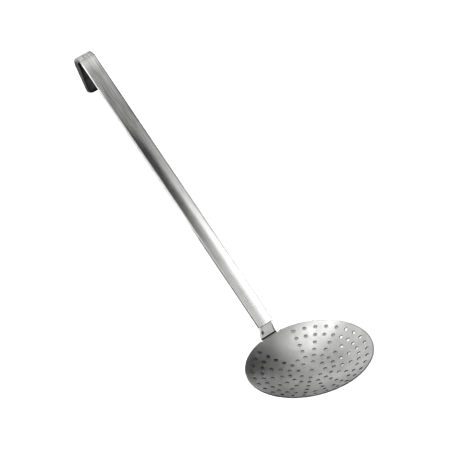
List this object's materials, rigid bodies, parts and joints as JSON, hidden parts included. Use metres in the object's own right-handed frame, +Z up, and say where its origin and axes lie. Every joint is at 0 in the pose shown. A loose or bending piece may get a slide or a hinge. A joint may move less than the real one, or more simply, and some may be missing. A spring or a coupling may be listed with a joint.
{
  "type": "kitchen skimmer",
  "caption": "Long-handled kitchen skimmer: a shallow round perforated bowl on a folded neck, with a pressed channel handle that ends in a hanging hook.",
  "frame": {"origin": "middle of the overall length and width, on the table that the skimmer lies on", "axes": "+Z up from the table, X along the skimmer from the hook (-X) to the far side of the bowl (+X), Y across it; the part is symmetric about Y = 0"},
  "size_m": [0.406, 0.12, 0.086],
  "materials": {
    "bowl_steel": "satin, finely brushed",
    "neck_steel": "satin",
    "handle_steel": "polished lengthwise",
    "weld_metal": "dull"
  },
  "bodies": {
    "root": {"bowl": "bowl_steel", "neck": "neck_steel", "root_weld": "weld_metal", "handle": "handle_steel", "spot_welds": "weld_metal"}
  },
  "joints": []
}
